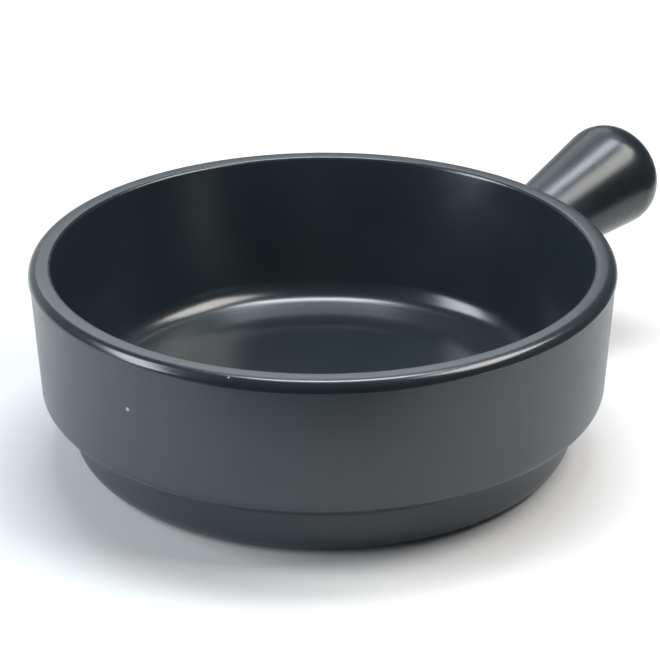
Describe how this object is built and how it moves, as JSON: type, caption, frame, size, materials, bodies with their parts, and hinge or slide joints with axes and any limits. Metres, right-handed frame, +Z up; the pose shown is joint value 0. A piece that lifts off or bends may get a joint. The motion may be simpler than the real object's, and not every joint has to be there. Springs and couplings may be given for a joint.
{
  "type": "lug soup bowl",
  "caption": "Shallow round soup bowl with near-upright sides, a stepped stacking foot and one short hollow stub handle, glossy inside and satin outside.",
  "frame": {"origin": "centre of the foot ring, on the plane of the table", "axes": "+Z up along the bowl's axis, +X from the axis towards the handle, +Y across the handle"},
  "size_m": [0.1825, 0.14, 0.0552],
  "materials": {
    "clay": "bare fired stoneware, fine dry grain",
    "slip": "fired joining slip, dry",
    "gloss_glaze": "smooth near-black gloss glaze",
    "satin_glaze": "slate-grey satin glaze"
  },
  "bodies": {
    "root": {"bowl_body": "clay", "lug_handle": "clay", "luting_slip": "slip", "inside_glaze": "gloss_glaze", "outside_glaze": "satin_glaze", "handle_glaze": "satin_glaze", "base_glaze": "satin_glaze"}
  },
  "joints": []
}
